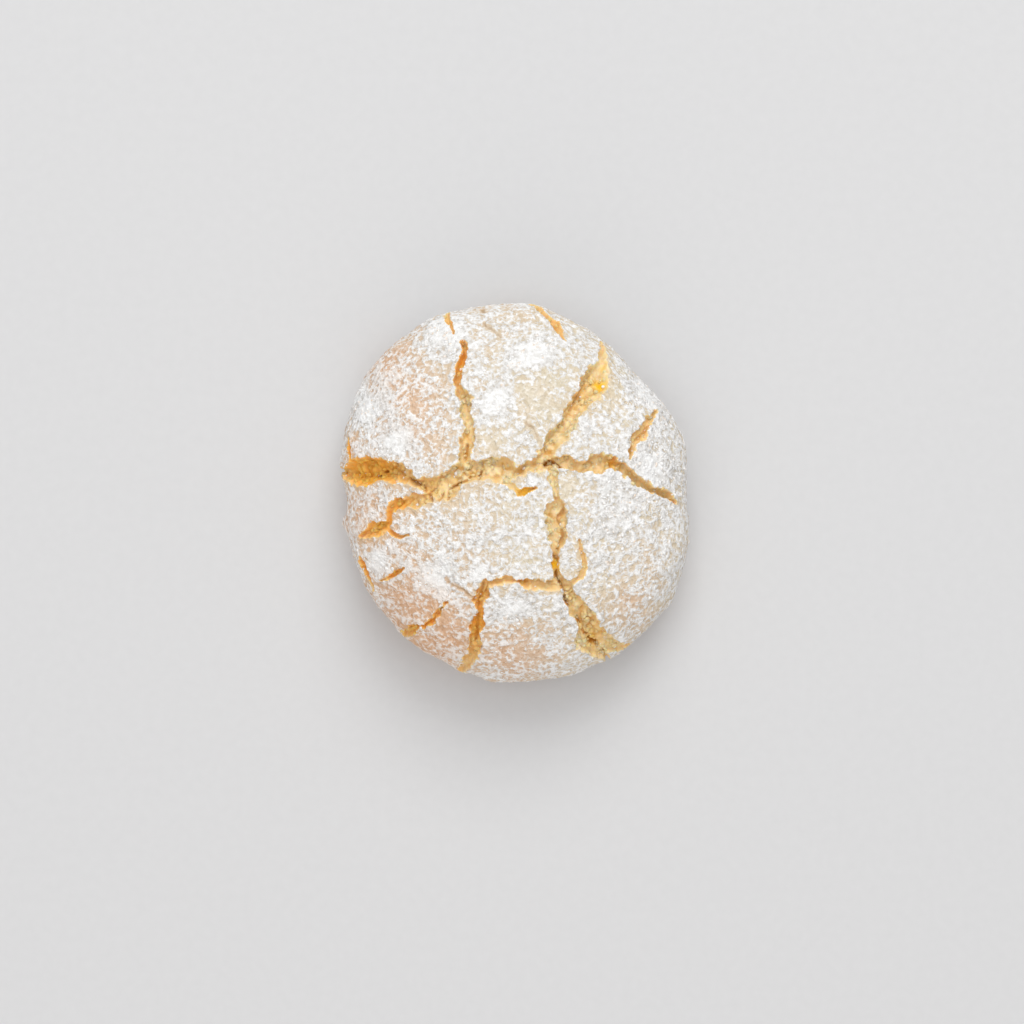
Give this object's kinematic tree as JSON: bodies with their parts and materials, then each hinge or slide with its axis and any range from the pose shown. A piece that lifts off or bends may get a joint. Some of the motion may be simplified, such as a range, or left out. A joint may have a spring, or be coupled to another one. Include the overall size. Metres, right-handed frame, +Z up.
{
  "type": "amaretti cookie",
  "caption": "Soft round almond cookie: a low domed crust dusted with icing sugar and split by cracks that show the crumb, on a flat baked base.",
  "frame": {"origin": "middle of the flat base that the cookie rests on", "axes": "+Z up out of the dome, +Y across the cookie the long way, +X across it the short way"},
  "size_m": [0.0526, 0.057, 0.0233],
  "materials": {
    "sugared_crust": "matt baked almond crust under a mottled white dusting of icing sugar, golden crumb in the cracks, tan base"
  },
  "bodies": {
    "root": {"cookie": "sugared_crust"}
  },
  "joints": []
}
